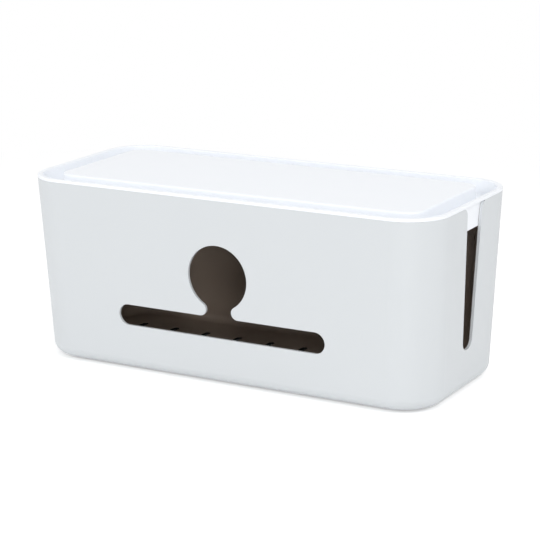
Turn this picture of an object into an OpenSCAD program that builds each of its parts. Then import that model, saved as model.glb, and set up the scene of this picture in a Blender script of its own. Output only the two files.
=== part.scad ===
// Cable management box: an open-topped shell that hides a power strip and its spare cord.
// The front wall has a plug window above a long cord slot, each end wall has a cord slot that is
// open at the rim, and the floor has a row of vents. A lift-off lid closes the top. Its tabs close
// the mouths of the end slots, and a groove round its raised table props up a phone or tablet.
// The box stands on four rubber feet.
//
// Lengths are in millimetres. Z is up, the length lies along X, and the window faces -Y.
// The origin is on the surface that the box stands on, midway between the feet.

/* [Shell] */
// Length of the shell at its rim
box_length = 400; // [320:1:500]
// Depth of the shell at its rim, front to back
box_depth = 175; // [140:1:230]
// Height of the rim above the surface that the box stands on
rim_height = 165; // [135:1:230]
// Radius of the four upright corners
corner_r = 37; // [25:0.5:50]
// Lean of the walls from upright, in degrees
draft_angle = 2.5; // [0.5:0.25:5]
// Thickness of the walls
wall = 2.5; // [1.8:0.1:4]
// Thickness of the floor
floor_t = 2.5; // [1.8:0.1:5]
// Radius of the rounded bottom edge
bottom_r = 10; // [6:0.5:16]
// Rounding of the rim's outer edge, which shows as the line under the lid
rim_edge_r = 0.6; // [0.2:0.1:1]

/* [Front window] */
// Length of the cord slot
cord_slot_length = 204.5; // [120:0.5:230]
// Height of the cord slot, which has round ends
cord_slot_height = 19; // [12:0.5:26]
// Height of the cord slot's centre line above the surface
cord_slot_z = 52.2; // [40:0.2:60]
// Diameter of the plug hole above the slot
plug_hole_d = 57.6; // [44:0.2:64]
// Height of the plug hole's centre above the cord slot's centre line
plug_hole_rise = 44.8; // [42:0.2:52]
// Width of the neck that joins the plug hole to the slot
neck_width = 25; // [16:0.5:32]
// Rounding where the neck opens into the plug hole
neck_hole_r = 5.5; // [2:0.5:6]
// Rounding where the neck opens into the slot
neck_slot_r = 6; // [2:0.5:6]

/* [End slots] */
// Width of an end slot at the rim
end_slot_width = 30.2; // [22:0.2:40]
// Lean of an end slot's sides from upright, in degrees
end_slot_taper = 2.65; // [0:0.05:3]
// Height of an end slot's lowest point above the surface
end_slot_bottom_z = 38.8; // [30:0.2:60]
// Radius of the corners at an end slot's bottom
end_slot_bottom_r = 8; // [4:0.5:8]
// Rounding of an end slot's mouth at the rim
end_slot_mouth_r = 8; // [2:0.5:10]

/* [Floor vents] */
// Distance between neighbouring vents
vent_pitch = 34.5; // [20:0.5:60]
// Width of a vent, which has round ends
vent_width = 6; // [4:0.5:8]
// Least distance from a vent to the floor's rounded edge, along X
vent_side_margin = 10; // [8:1:20]
// Distance from a vent's end to the floor's rounded edge, along Y
vent_end_margin = 29; // [20:1:40]

/* [Lid] */
// Thickness of the lid's walls
lid_t = 2.1; // [1.6:0.1:3]
// Gap all round between the shell's wall and the part of the lid inside it
lid_gap = 0.4; // [0.3:0.05:0.8]
// Height of the lip, which lies on the rim
lip_height = 2.5; // [2:0.1:4]
// Rounding of the lip's outer and inner top edges
lip_edge_r = 1.1; // [0.4:0.1:1.2]
// Depth of the groove below the rim
groove_depth = 12; // [8:0.5:20]
// Width of the groove
groove_width = 18; // [14:0.5:26]
// Rounding between the groove's floor and its walls
groove_floor_r = 2.5; // [1:0.5:4]
// Height of the raised table above the rim
table_rise = 2.7; // [0:0.1:5]
// Radius of the table's upright corners
table_corner_r = 14; // [5:0.5:20]
// Rounding of the table's top edge
table_edge_r = 1.8; // [0.5:0.1:3]
// Lean of the table's sides from upright, in degrees
table_draft = 1.5; // [0:0.25:4]

/* [Lid underside] */
// Thickness of the ribs under the table
rib_t = 1.4; // [1:0.1:2]
// Depth of the ribs under the table
rib_depth = 6; // [3:0.5:9]
// Greatest distance between neighbouring ribs
rib_pitch = 60; // [40:1:90]

/* [Lid tabs] */
// How far a tab hangs below the rim
tab_drop = 21.5; // [17:0.5:40]
// How far a tab runs past the end slot's sides, behind the wall
tab_lap = 4; // [1:0.5:10]
// Gap between a tab and the wall that it laps behind
tab_gap = 0.2; // [0.1:0.05:0.25]
// How far a tab's inner face lies inside that of the skirt that it hangs from
tab_inset = 0.3; // [0.1:0.1:0.5]
// Rounding of a tab's lower corners
tab_corner_r = 3; // [0.5:0.5:6]

/* [Feet] */
// Diameter of a rubber foot
foot_d = 14; // [10:0.5:16]
// Thickness of a rubber foot
foot_t = 2.5; // [2:0.1:4]
// Depth of the round recess that holds a foot
foot_recess = 1; // [0.5:0.1:1.5]
// Gap all round between a foot and its recess
foot_gap = 0.2; // [0.1:0.05:0.4]
// Rounding of a foot's lower edge
foot_edge_r = 0.6; // [0.2:0.1:1]
// Distance from a foot's centre to the floor's rounded edge, along X and along Y
foot_margin = 15; // [12:0.5:20]

/* [Hidden] */

$fn = 96;
// How far a cutter runs past the face it cuts
past = 1;
// How far a blending arc runs past the faces it blends, so that it crosses them cleanly
bite = 0.003;

half_x = box_length / 2;
half_y = box_depth / 2;
lean = tan(draft_angle);

// Underside of the shell, and the flat part of it inside the rounded bottom edge
base_z = foot_t - foot_recess;
base_inset = (rim_height - base_z) * lean + bottom_r;
flat_x = half_x - base_inset;
flat_y = half_y - base_inset;

// Centres of the upright corners at height z. They lean outward with the walls,
// so every level cut through the shell has the same corner radius.
function corner_x(z) = half_x - corner_r - (rim_height - z) * lean;
function corner_y(z) = half_y - corner_r - (rim_height - z) * lean;

// The lid's skirt and groove, as insets from the shell's outer face
skirt_inset = wall + lid_gap;
groove_inset = skirt_inset + lid_t;
groove_z = rim_height - groove_depth;
lip_z = rim_height + lip_height;

// The table's top edge
table_x = half_x - groove_inset - groove_width;
table_y = half_y - groove_inset - groove_width;
table_z = rim_height + table_rise;
table_height = table_z - groove_z;
table_cx = table_x - table_corner_r;
table_cy = table_y - table_corner_r;

// The end slot's half width at height z
function end_slot_half(z) = end_slot_width / 2 - (rim_height - z) * tan(end_slot_taper);

// Places of the vents, as many as fit on the floor
vents_a_side = floor((flat_x - vent_side_margin - vent_width / 2) / vent_pitch + 0.5);
vent_length = 2 * (flat_y - vent_end_margin);

// Spaces between the ribs under the table, as few as keep within the pitch
rib_bays = ceil(2 * table_x / rib_pitch);

foot_x = flat_x - foot_margin;
foot_y = flat_y - foot_margin;

white = [0.87, 0.885, 0.9];
lid_white = [0.95, 0.96, 0.975];
rubber = [0.16, 0.16, 0.17];

// ---------------------------------------------------------------- forms

// Puts a copy in each quarter of the plan: the child is drawn for +X +Y.
module in_each_quarter() {
    for (mx = [0, 1], my = [0, 1])
        mirror([mx, 0, 0])
            mirror([0, my, 0])
                children();
}

// A quarter of a ring or a solid, with its corner's centre on the Z axis. The profile's x is
// the distance out from that centre, and its y is height. The straight stretches run back
// from the corner past the middle of the box.
module round_corner(run_x = half_x, run_y = half_y) {
    rotate_extrude(angle = 90)
        children();
    rotate([90, 0, 0])
        linear_extrude(run_y)
            children();
    translate([-run_x, 0, 0])
        rotate([90, 0, 90])
            linear_extrude(run_x)
                children();
}

// Carries a profile round a rectangle of corner centres at (cx, cy).
module carry_round(cx, cy) {
    in_each_quarter()
        translate([cx, cy, 0])
            round_corner(cx, cy)
                children();
}

// An upright solid with corner radius r and its corner centres at (cx, cy), from z0 up by h,
// whose upper edge is rounded by top_r.
module upright_box(cx, cy, r, z0, h, top_r) {
    translate([0, 0, z0]) {
        carry_round(cx, cy)
            wall_profile(r, h, top_r, 0);
        translate([-cx, -cy, 0])
            cube([2 * cx, 2 * cy, h]);
    }
}

// The shell's outer form moved inward by inset, from z0 up to z1, with its lower edge rounded
// by edge_r. A quarter of it is drawn upright and then sheared, so that both walls lean and
// every level cut keeps the same corner radius.
module tapered_box(inset, z0, z1, edge_r) {
    h = z1 - z0;
    shear = [[1, 0, lean, corner_x(z0)], [0, 1, lean, corner_y(z0)], [0, 0, 1, z0]];
    in_each_quarter()
        intersection() {
            translate([0, 0, z0 - past])
                cube([box_length, box_depth, h + 2 * past]);
            multmatrix(shear) {
                round_corner()
                    wall_profile(corner_r - inset, h, 0, edge_r);
                translate([-half_x, -half_y, 0])
                    cube([half_x, half_y, h]);
            }
        }
}

// A rectangle r wide and h high whose outer corners are rounded.
module wall_profile(r, h, top_r, bottom_r) {
    translate([0, bottom_r])
        square([r, h - top_r - bottom_r]);
    if (top_r > 0)
        translate([0, h - top_r])
            rounded_band(r, top_r);
    if (bottom_r > 0)
        translate([0, bottom_r])
            mirror([0, 1])
                rounded_band(r, bottom_r);
}

// A band from x = 0 to x = r and from y = 0 to y = e, whose far upper corner is rounded by e.
module rounded_band(r, e) {
    square([r - e, e]);
    translate([r - e, 0])
        intersection() {
            circle(e);
            square(e + past);
        }
}

// The piece between a corner at p and the arc of radius r that rounds it. The corner's sides
// leave it at the angles a and b, and the piece runs past them away from the arc.
module corner_piece(p, a, b, r) {
    half = (b - a) / 2;
    toward = [cos(a + half), sin(a + half)];
    centre = p + toward * r / sin(half);
    reach = r + past;
    difference() {
        polygon([
            centre,
            centre + reach * [sin(a), -cos(a)],
            centre - toward * reach / sin(half),
            centre + reach * [-sin(b), cos(b)]
        ]);
        translate(centre)
            circle(r + bite);
    }
}

// ---------------------------------------------------------------- shell

module shell() {
    color(white)
        difference() {
            tapered_box(0, base_z, rim_height, bottom_r);
            tapered_box(wall, base_z + floor_t, rim_height + past, bottom_r - wall);
            carry_round(half_x - corner_r, half_y - corner_r)
                corner_piece([corner_r, rim_height], 180, 270, rim_edge_r);
            front_window();
            end_slots();
            vents();
            foot_recesses();
        }
}

// The plug hole, the neck and the cord slot, cut through the front wall.
module front_window() {
    translate([0, -half_y + base_inset, cord_slot_z])
        rotate([90, 0, 0])
            linear_extrude(base_inset + past)
                window_outline();
}

// Drawn about the middle of the cord slot.
module window_outline() {
    end_x = (cord_slot_length - cord_slot_height) / 2;
    square([2 * end_x, cord_slot_height], center = true);
    for (x = [-end_x, end_x])
        translate([x, 0])
            circle(d = cord_slot_height);
    translate([0, plug_hole_rise])
        circle(d = plug_hole_d);
    translate([-neck_width / 2, 0])
        square([neck_width, plug_hole_rise]);
    for (m = [0, 1])
        mirror([m, 0])
            neck_flares();
}

// The rounded corners on the neck's right side, drawn as what they open beyond the neck.
module neck_flares() {
    x = neck_width / 2;
    corner_piece([x, cord_slot_height / 2], 0, 90, neck_slot_r);
    // Centre of the upper rounding, which touches the neck's side and the plug hole
    reach = plug_hole_d / 2 + neck_hole_r;
    cx = x + neck_hole_r;
    cy = plug_hole_rise - sqrt(reach * reach - cx * cx);
    difference() {
        polygon([[0, cy], [cx, cy], [0, plug_hole_rise]]);
        translate([cx, cy])
            circle(neck_hole_r + bite);
    }
}

module end_slots() {
    for (side = [0, 180])
        rotate([0, 0, side])
            translate([half_x - base_inset, 0, 0])
                rotate([90, 0, 90])
                    linear_extrude(base_inset + past)
                        end_slot_outline();
}

// Drawn as seen along X, in true heights.
module end_slot_outline() {
    low = end_slot_half(end_slot_bottom_z);
    mouth = end_slot_half(rim_height + past);
    difference() {
        polygon([
            [low, end_slot_bottom_z], [mouth, rim_height + past],
            [-mouth, rim_height + past], [-low, end_slot_bottom_z]
        ]);
        for (m = [0, 1])
            mirror([m, 0])
                corner_piece([low, end_slot_bottom_z], 90 - end_slot_taper, 180, end_slot_bottom_r);
    }
    for (m = [0, 1])
        mirror([m, 0])
            corner_piece([end_slot_width / 2, rim_height], 270 - end_slot_taper, 360, end_slot_mouth_r);
}

module vents() {
    run = vent_length - vent_width;
    for (side = [-1, 1], i = [0:vents_a_side - 1])
        translate([side * (i + 0.5) * vent_pitch, 0, 0])
            linear_extrude(base_z + floor_t + past) {
                square([vent_width, run], center = true);
                for (y = [-run / 2, run / 2])
                    translate([0, y])
                        circle(d = vent_width);
            }
}

module foot_recesses() {
    in_each_quarter()
        translate([foot_x, foot_y, base_z - past])
            cylinder(d = foot_d + 2 * foot_gap, h = foot_recess + past);
}

// ---------------------------------------------------------------- lid

module lid() {
    color(lid_white) {
        difference() {
            union() {
                difference() {
                    union() {
                        lip();
                        skirt();
                    }
                    groove();
                }
                table();
            }
            table_hollow();
        }
        table_ribs();
        for (side = [0, 180])
            rotate([0, 0, side])
                tab();
    }
}

// A slab over the whole rim, with its outer top edge rounded.
module lip() {
    upright_box(half_x - corner_r, half_y - corner_r, corner_r, rim_height, lip_height, lip_edge_r);
}

// The part of the lid that drops inside the shell, before it is cut.
module skirt() {
    tapered_box(skirt_inset, groove_z - lid_t, rim_height + past, groove_floor_r + lid_t);
}

// What is cut from above: all that lies inside the groove's outer wall and over its floor.
module groove() {
    tapered_box(groove_inset, groove_z, lip_z + past, groove_floor_r);
    carry_round(corner_x(lip_z), corner_y(lip_z))
        corner_piece([corner_r - groove_inset, lip_z], 270, 360, lip_edge_r);
}

// The raised table, which stands on the groove's floor and flares into it at its foot.
module table() {
    translate([0, 0, groove_z]) {
        carry_round(table_cx, table_cy)
            table_profile();
        translate([-table_cx, -table_cy, -past])
            cube([2 * table_cx, 2 * table_cy, table_height + past]);
    }
}

module table_profile() {
    side_h = table_height - table_edge_r;
    foot_r = table_corner_r + side_h * tan(table_draft);
    polygon([[0, -past], [foot_r, -past], [foot_r, 0], [table_corner_r, side_h], [0, side_h]]);
    translate([0, side_h])
        rounded_band(table_corner_r, table_edge_r);
    corner_piece([foot_r, 0], 0, 90 + table_draft, groove_floor_r);
}

// The hollow under the table.
module table_hollow() {
    r = table_corner_r - lid_t;
    z0 = groove_z - lid_t - past;
    h = table_z - lid_t - z0;
    translate([0, 0, z0]) {
        carry_round(table_cx, table_cy)
            polygon([[0, 0], [r + h * tan(table_draft), 0], [r, h], [0, h]]);
        translate([-table_cx, -table_cy, 0])
            cube([2 * table_cx, 2 * table_cy, h]);
    }
}

// Ribs across and along the hollow, which stiffen the table.
module table_ribs() {
    ceiling = table_z - lid_t;
    across = table_y - lid_t / 2;
    along = table_x - lid_t / 2;
    for (i = [1:rib_bays - 1])
        translate([-along + i * 2 * along / rib_bays - rib_t / 2, -across, ceiling - rib_depth])
            cube([rib_t, 2 * across, rib_depth + lid_t / 2]);
    translate([-along, -rib_t / 2, ceiling - rib_depth])
        cube([2 * along, rib_t, rib_depth + lid_t / 2]);
}

// The tab at the +X end, which hangs from the skirt and closes the mouth of the end slot.
module tab() {
    low_z = rim_height - tab_drop;
    high_z = rim_height + past;
    face = half_x - wall - tab_gap;
    back = half_x - groove_inset + tab_inset;
    drop_lean = tab_drop * lean;
    rise_lean = past * lean;
    intersection() {
        rotate([90, 0, 0])
            linear_extrude(end_slot_width + 2 * (tab_lap + past), center = true)
                polygon([
                    [back + rise_lean, high_z], [face + rise_lean, high_z],
                    [face - drop_lean, low_z], [back - drop_lean, low_z]
                ]);
        translate([back - drop_lean - past, 0, 0])
            rotate([90, 0, 90])
                linear_extrude(half_x)
                    tab_outline();
    }
}

// Drawn as seen along X, in true heights.
module tab_outline() {
    low_z = rim_height - tab_drop;
    over_z = rim_height + 2 * past;
    top = end_slot_half(over_z) + tab_lap;
    low = end_slot_half(low_z) + tab_lap;
    difference() {
        polygon([[top, over_z], [low, low_z], [-low, low_z], [-top, over_z]]);
        for (m = [0, 1])
            mirror([m, 0])
                corner_piece([low, low_z], 90 - end_slot_taper, 180, tab_corner_r);
    }
}

// ---------------------------------------------------------------- feet

module foot(side, end) {
    color(rubber)
        translate([end * foot_x, side * foot_y, 0])
            rotate_extrude()
                wall_profile(foot_d / 2, foot_t, 0, foot_edge_r);
}

module foot_front_left() {
    foot(-1, -1);
}

module foot_front_right() {
    foot(-1, 1);
}

module foot_rear_left() {
    foot(1, -1);
}

module foot_rear_right() {
    foot(1, 1);
}

shell();
lid();
foot_front_left();
foot_front_right();
foot_rear_left();
foot_rear_right();
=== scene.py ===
import math

import bpy
from mathutils import Matrix, Vector

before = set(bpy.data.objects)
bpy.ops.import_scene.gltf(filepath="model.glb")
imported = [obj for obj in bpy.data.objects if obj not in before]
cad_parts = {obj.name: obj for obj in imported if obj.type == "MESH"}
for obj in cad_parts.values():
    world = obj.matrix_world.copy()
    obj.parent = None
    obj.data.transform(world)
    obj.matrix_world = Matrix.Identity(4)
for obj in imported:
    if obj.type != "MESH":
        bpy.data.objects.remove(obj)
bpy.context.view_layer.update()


scene = bpy.context.scene


# ---------------------------------------------------------------- node trees

def rgba(r, g, b):
    return (r, g, b, 1.0)


WHITE = rgba(1.0, 1.0, 1.0)


class Nodes:
    """The node tree of a material or a world, with short calls for the nodes that it uses."""

    def __init__(self, owner):
        owner.use_nodes = True
        self.tree = owner.node_tree
        self.tree.nodes.clear()

    def set(self, socket, value):
        """Links the socket to another node's output, or gives it a plain value."""
        if isinstance(value, bpy.types.NodeSocket):
            self.tree.links.new(value, socket)
        else:
            socket.default_value = value

    def add(self, kind, inputs=None, **settings):
        node = self.tree.nodes.new("ShaderNode" + kind)
        for key, value in settings.items():
            setattr(node, key, value)
        for key, value in (inputs or {}).items():
            self.set(node.inputs[key], value)
        return node

    def math(self, operation, a, b=0.0):
        return self.add("Math", {0: a, 1: b}, operation=operation).outputs[0]

    def remap(self, value, low, high, to_low=0.0, to_high=1.0, smooth=False):
        """Carries the range from low to high over to another range, and goes no further."""
        kind = "SMOOTHSTEP" if smooth else "LINEAR"
        inputs = {"Value": value, "From Min": low, "From Max": high, "To Min": to_low, "To Max": to_high}
        return self.add("MapRange", inputs, interpolation_type=kind).outputs["Result"]

    def noise(self, where, scale, detail=2.0, roughness=0.5):
        """Noise of so many cells per metre."""
        inputs = {"Vector": where, "Scale": scale, "Detail": detail, "Roughness": roughness}
        return self.add("TexNoise", inputs).outputs["Fac"]

    def mix(self, factor, a, b):
        """The colour that lies from a to b by the factor."""
        node = self.add("Mix", data_type="RGBA")
        colours = [socket for socket in node.inputs if socket.type == "RGBA"]
        self.set(node.inputs["Factor"], factor)
        self.set(colours[0], a)
        self.set(colours[1], b)
        return next(socket for socket in node.outputs if socket.type == "RGBA")

    def bump(self, height, strength, distance, normal=None):
        inputs = {"Height": height, "Strength": strength, "Distance": distance}
        if normal is not None:
            inputs["Normal"] = normal
        return self.add("Bump", inputs).outputs["Normal"]

    def position(self):
        """A point's place in metres, in the frame of the CAD."""
        return self.add("TexCoord").outputs["Object"]

    def past_corner(self, a, b):
        """How far a point is past a square corner, from how far it is past each of its sides."""
        past_a = self.math("MAXIMUM", a, 0.0)
        past_b = self.math("MAXIMUM", b, 0.0)
        square_a = self.math("MULTIPLY", past_a, past_a)
        square_b = self.math("MULTIPLY", past_b, past_b)
        return self.math("SQRT", self.math("ADD", square_a, square_b))


def new_material(name):
    """A material and its empty node tree."""
    material = bpy.data.materials.new(name)
    return material, Nodes(material)


# ---------------------------------------------------------------- materials of the object

# The shell as the CAD makes it, in metres. Its walls lean, and its corners keep their radius.
HALF_X = 0.200
HALF_Y = 0.0875
RIM_Z = 0.165
BASE_Z = 0.0015
CORNER_R = 0.037
BOTTOM_R = 0.010
WALL = 0.0025
LEAN = math.tan(math.radians(2.5))

# How deep in the wall the inside's painted shade begins and is full, and the same for the painted shade
# on a vent's cut edge
INSIDE_SHADE_DEPTHS = 0.95 * WALL, 0.99 * WALL
CUT_EDGE_SHADE_DEPTHS = 0.04 * WALL, 0.12 * WALL

# Moulded plastic. Scales are in cells per metre, and the heights of the relief in metres.
CLOUD_SCALE = 9.0
WEAR_SCALE = 60.0
WEAR = 0.04
RIPPLE_SCALE = 38.0
RIPPLE_STRENGTH = 0.10
RIPPLE_HEIGHT = 0.0004
GRAIN_SCALE = 1400.0
GRAIN_STRENGTH = 0.16
GRAIN_HEIGHT = 0.00004
NOISE_LOW = 0.3
NOISE_HIGH = 0.7

# Rubber that has picked up some dust
DUST_SCALE = 240.0
DUST_LOW = 0.45
DUST_HIGH = 0.75
PIMPLE_SCALE = 2200.0
PIMPLE_STRENGTH = 0.3
PIMPLE_HEIGHT = 0.00006

SHELL_OUTER = rgba(0.661, 0.687, 0.706)
SHELL_OUTER_CLOUD = rgba(0.651, 0.678, 0.698)
# Painted shade: the white shell's inside gets a dark warm tone that stands in for its deep shade.
INNER_SHADE_TONE = rgba(0.341, 0.272, 0.222)
INNER_SHADE_CLOUD = rgba(0.331, 0.263, 0.214)
# Painted shade: the floor vents' cut edges are near black, standing in for the shade in the vents.
VENT_EDGE_SHADE = rgba(0.020, 0.018, 0.016)
SHELL_ROUGHNESS = 0.46
LID = rgba(0.914, 0.938, 0.975)
LID_CLOUD = rgba(0.907, 0.932, 0.970)
LID_ROUGHNESS = 0.42
RUBBER = rgba(0.030, 0.030, 0.032)
RUBBER_DUST = rgba(0.050, 0.049, 0.050)
RUBBER_ROUGHNESS = 0.85


def surface(nodes, colour, roughness, normal):
    """Ends a material of the object."""
    inputs = {"Base Color": colour, "Roughness": roughness, "Normal": normal}
    shader = nodes.add("BsdfPrincipled", inputs).outputs["BSDF"]
    nodes.add("OutputMaterial", {"Surface": shader})


def moulded(nodes, where, colour, cloud, rough):
    """Satin moulded plastic with faint clouding, a fine grain and the slow ripple of a large wall."""
    clouds = nodes.noise(where, CLOUD_SCALE, detail=3.0)
    grain = nodes.noise(where, GRAIN_SCALE, roughness=0.6)
    ripple = nodes.noise(where, RIPPLE_SCALE, detail=1.0)
    worn = nodes.noise(where, WEAR_SCALE, detail=3.0)
    tinted = nodes.mix(nodes.remap(clouds, NOISE_LOW, NOISE_HIGH), cloud, colour)
    roughness = nodes.math("ADD", nodes.remap(worn, NOISE_LOW, NOISE_HIGH, -WEAR, WEAR), rough)
    waves = nodes.bump(ripple, RIPPLE_STRENGTH, RIPPLE_HEIGHT)
    surface(nodes, tinted, roughness, nodes.bump(grain, GRAIN_STRENGTH, GRAIN_HEIGHT, waves))


def shell_shade_masks(nodes, where):
    """Two masks for painted shade: one for the shell's inner side, and one for the cut edges of its
    floor vents.
    """
    xyz = nodes.add("SeparateXYZ", {0: where}).outputs
    drawn_in = nodes.math("MULTIPLY", nodes.math("SUBTRACT", RIM_Z, xyz["Z"]), LEAN)

    def past_centre(axis, half):
        """How far out a point is from the corner's centre, which the leaning walls carry inward."""
        centre = half - CORNER_R
        return nodes.math("ADD", nodes.math("SUBTRACT", nodes.math("ABSOLUTE", axis), centre), drawn_in)

    def from_corner(a, b):
        """As past_corner, and less than nothing within the corner's two sides."""
        within = nodes.math("MINIMUM", nodes.math("MAXIMUM", a, b), 0.0)
        return nodes.math("ADD", nodes.past_corner(a, b), within)

    out_x = past_centre(xyz["X"], HALF_X)
    out_y = past_centre(xyz["Y"], HALF_Y)
    # How far a point is outside and below the centre of the bottom edge's rounding
    out = nodes.math("SUBTRACT", from_corner(out_x, out_y), CORNER_R - BOTTOM_R)
    down = nodes.math("SUBTRACT", BASE_Z + BOTTOM_R, xyz["Z"])
    depth = nodes.math("SUBTRACT", BOTTOM_R, from_corner(out, down))
    painted_inside_shade = nodes.remap(depth, *INSIDE_SHADE_DEPTHS, smooth=True)
    over_floor = nodes.math("LESS_THAN", out, 0.0)
    off_base = nodes.remap(depth, *CUT_EDGE_SHADE_DEPTHS, smooth=True)
    return painted_inside_shade, nodes.math("MULTIPLY", over_floor, off_base)


def shell_plastic():
    material, nodes = new_material("shell_plastic")
    where = nodes.position()
    painted_inside_shade, vent_edge_shade = shell_shade_masks(nodes, where)

    # Painted shade: the inside and the vents' cut edges take dark colours that stand in for their shade.
    def by_side(outer, inner_shade):
        return nodes.mix(painted_inside_shade, nodes.mix(vent_edge_shade, outer, VENT_EDGE_SHADE), inner_shade)

    colour = by_side(SHELL_OUTER, INNER_SHADE_TONE)
    cloud = by_side(SHELL_OUTER_CLOUD, INNER_SHADE_CLOUD)
    moulded(nodes, where, colour, cloud, SHELL_ROUGHNESS)
    return material


def lid_plastic():
    material, nodes = new_material("lid_plastic")
    moulded(nodes, nodes.position(), LID, LID_CLOUD, LID_ROUGHNESS)
    return material


def foot_rubber():
    material, nodes = new_material("foot_rubber")
    where = nodes.position()
    dust = nodes.remap(nodes.noise(where, DUST_SCALE, detail=4.0), DUST_LOW, DUST_HIGH)
    colour = nodes.mix(dust, RUBBER, RUBBER_DUST)
    normal = nodes.bump(nodes.noise(where, PIMPLE_SCALE), PIMPLE_STRENGTH, PIMPLE_HEIGHT)
    surface(nodes, colour, RUBBER_ROUGHNESS, normal)
    return material


def dress(names, material):
    for name in names:
        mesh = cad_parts[name].data
        mesh.materials.clear()
        mesh.materials.append(material)


dress(["shell"], shell_plastic())
dress(["lid"], lid_plastic())
dress(["foot_front_left", "foot_front_right", "foot_rear_left", "foot_rear_right"], foot_rubber())


# ---------------------------------------------------------------- camera

FOCAL_PX = 1911.607
IMAGE_PX = 540
SENSOR_MM = 36.0
CAMERA_DISTANCE = 1.694799
CAMERA_AZIMUTH = math.radians(29.668)
CAMERA_ELEVATION = math.radians(14.775)
CAMERA_ROLL = math.radians(-0.621)
CAMERA_TARGET = Vector((0.003879, -0.000188, 0.085145))


def make_camera():
    data = bpy.data.cameras.new("camera")
    data.sensor_fit = "HORIZONTAL"
    data.sensor_width = SENSOR_MM
    data.lens = FOCAL_PX / IMAGE_PX * SENSOR_MM
    data.dof.use_dof = False
    level = math.cos(CAMERA_ELEVATION)
    back = Vector((
        math.sin(CAMERA_AZIMUTH) * level,
        -math.cos(CAMERA_AZIMUTH) * level,
        math.sin(CAMERA_ELEVATION),
    ))
    right = (-back).cross(Vector((0.0, 0.0, 1.0))).normalized()
    up = right.cross(-back)
    rolled_right = math.cos(CAMERA_ROLL) * right + math.sin(CAMERA_ROLL) * up
    rolled_up = math.cos(CAMERA_ROLL) * up - math.sin(CAMERA_ROLL) * right
    turn = Matrix((rolled_right, rolled_up, back)).transposed()
    camera = bpy.data.objects.new("camera", data)
    camera.matrix_world = Matrix.Translation(CAMERA_TARGET + CAMERA_DISTANCE * back) @ turn.to_4x4()
    scene.collection.objects.link(camera)
    scene.camera = camera


make_camera()


# ---------------------------------------------------------------- floor

FLOOR_HALF = 10.0
PAPER = rgba(0.93, 0.93, 0.93)
# Painted shadow: the paper right under the object is dark grey.
PAINTED_SHADOW_PAPER = rgba(0.08, 0.08, 0.08)
PAPER_LIFT = 0.32
# Distances on the floor are measured from this rectangle under the object.
CORE_HALF_X = 0.14
CORE_HALF_Y = 0.03
# Distances from the rectangle over which the painted shadow under the object fades out
PAINTED_SHADOW_FADE = 0.026, 0.040
FADES_TO_WHITE = 0.30, 0.90


def seen_directly(nodes):
    """One where a ray comes from the camera, a mirror or glass, and zero for light that bounces."""
    path = nodes.add("LightPath").outputs
    mirrored = nodes.math("MAXIMUM", path["Is Glossy Ray"], path["Is Transmission Ray"])
    return nodes.math("MAXIMUM", path["Is Camera Ray"], mirrored)


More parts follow.
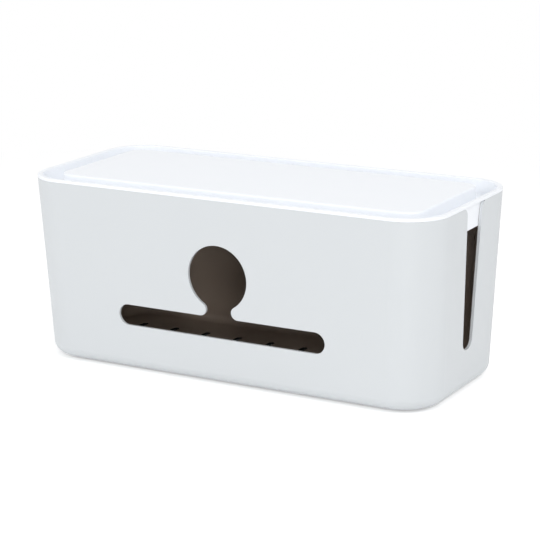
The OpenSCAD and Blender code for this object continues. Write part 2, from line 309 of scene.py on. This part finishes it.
def floor_paper():
    """White paper. Its brightness to the camera is lifted, its shadows stay, and right under the object
    it carries a painted shadow.
    """
    material, nodes = new_material("floor_paper")
    xyz = nodes.add("SeparateXYZ", {0: nodes.position()}).outputs
    out_x = nodes.math("SUBTRACT", nodes.math("ABSOLUTE", xyz["X"]), CORE_HALF_X)
    out_y = nodes.math("SUBTRACT", nodes.math("ABSOLUTE", xyz["Y"]), CORE_HALF_Y)
    away = nodes.past_corner(out_x, out_y)
    # Right under the object the paper carries a painted shadow, a dark grey that its vents show.
    past_painted_shadow = nodes.remap(away, *PAINTED_SHADOW_FADE, smooth=True)
    # Far off it looks white, whatever the lamps do there.
    distant = nodes.remap(away, *FADES_TO_WHITE, smooth=True)
    seen = seen_directly(nodes)
    paper = nodes.add("BsdfDiffuse", {"Color": nodes.mix(past_painted_shadow, PAINTED_SHADOW_PAPER, PAPER)})
    lifted = nodes.math("MULTIPLY", nodes.math("MULTIPLY", seen, past_painted_shadow), PAPER_LIFT)
    lift = nodes.add("Emission", {"Color": WHITE, "Strength": lifted})
    near = nodes.add("AddShader", {0: paper.outputs[0], 1: lift.outputs[0]})
    far = nodes.add("Emission", {"Color": WHITE, "Strength": 1.0})
    blend = nodes.math("MULTIPLY", seen, distant)
    both = nodes.add("MixShader", {0: blend, 1: near.outputs[0], 2: far.outputs[0]})
    nodes.add("OutputMaterial", {"Surface": both.outputs[0]})
    return material


def make_floor():
    points = [(x * FLOOR_HALF, y * FLOOR_HALF, 0.0) for x, y in ((-1, -1), (1, -1), (1, 1), (-1, 1))]
    mesh = bpy.data.meshes.new("floor")
    mesh.from_pydata(points, [], [(0, 1, 2, 3)])
    mesh.materials.append(floor_paper())
    floor = bpy.data.objects.new("floor", mesh)
    scene.collection.objects.link(floor)


make_floor()


# ---------------------------------------------------------------- light

SURROUND_LEVEL = 0.62
LAMP_AIM = (0.0, 0.0, 0.08)
# Each lamp's name, place, width, height and power, in metres and watts. The tall lamp stands at the
# camera's right. It throws the plug hole's patch of light on the back wall.
LAMPS = [
    ("tall", (1.531, -2.396, 0.945), 0.30, 1.3, 17.3),
    ("front_left", (-1.6, -2.0, 1.25), 1.0, 0.9, 16.8),
    ("right_high", (2.0, -0.4, 2.0), 1.6, 1.0, 16.2),
    ("top", (0.0, 0.4, 5.6), 3.6, 2.8, 24.0),
]


def make_surround():
    """An even surround that looks white and lights at its own level."""
    world = bpy.data.worlds.new("studio")
    scene.world = world
    nodes = Nodes(world)
    strength = nodes.remap(seen_directly(nodes), 0.0, 1.0, SURROUND_LEVEL, 1.0)
    sky = nodes.add("Background", {"Color": WHITE, "Strength": strength})
    nodes.add("OutputWorld", {"Surface": sky.outputs[0]})


def make_lamp(name, place, width, height, power):
    data = bpy.data.lights.new(name, "AREA")
    data.shape = "RECTANGLE"
    data.size = width
    data.size_y = height
    data.energy = power
    lamp = bpy.data.objects.new(name, data)
    lamp.location = place
    lamp.rotation_euler = (Vector(place) - Vector(LAMP_AIM)).to_track_quat("Z", "Y").to_euler()
    scene.collection.objects.link(lamp)


make_surround()
for lamp in LAMPS:
    make_lamp(*lamp)

scene.view_settings.view_transform = "Standard"
